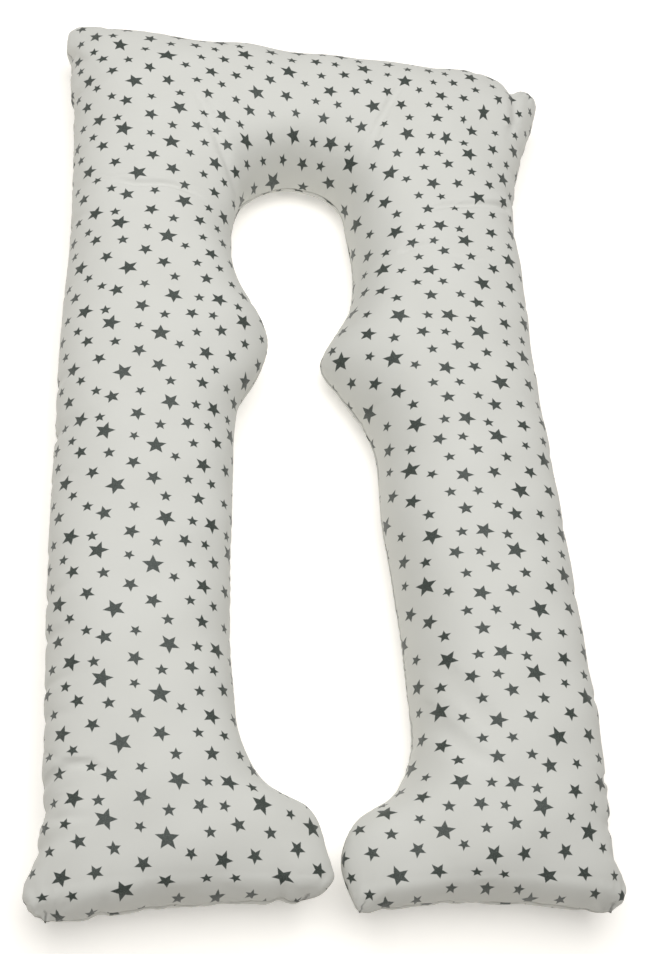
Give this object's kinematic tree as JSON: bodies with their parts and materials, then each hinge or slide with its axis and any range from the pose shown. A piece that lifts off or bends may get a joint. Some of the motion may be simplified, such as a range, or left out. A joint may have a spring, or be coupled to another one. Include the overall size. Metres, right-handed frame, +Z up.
{
  "type": "body pillow",
  "caption": "U-shaped filled body pillow lying flat: two straight legs with inward feet, a wide head end, a rounded head hole and a narrow neck between two swellings.",
  "frame": {"origin": "middle of the pillow's footprint, on the surface that it lies on", "axes": "+Y from the feet towards the head end, +X to the right seen from the feet, +Z up through the pillow's thickness"},
  "size_m": [0.9288, 1.689, 0.1878],
  "materials": {
    "printed_cotton": "matt off-white cotton printed with a scatter of dark grey five-pointed stars"
  },
  "bodies": {
    "root": {"pillow": "printed_cotton"}
  },
  "joints": []
}
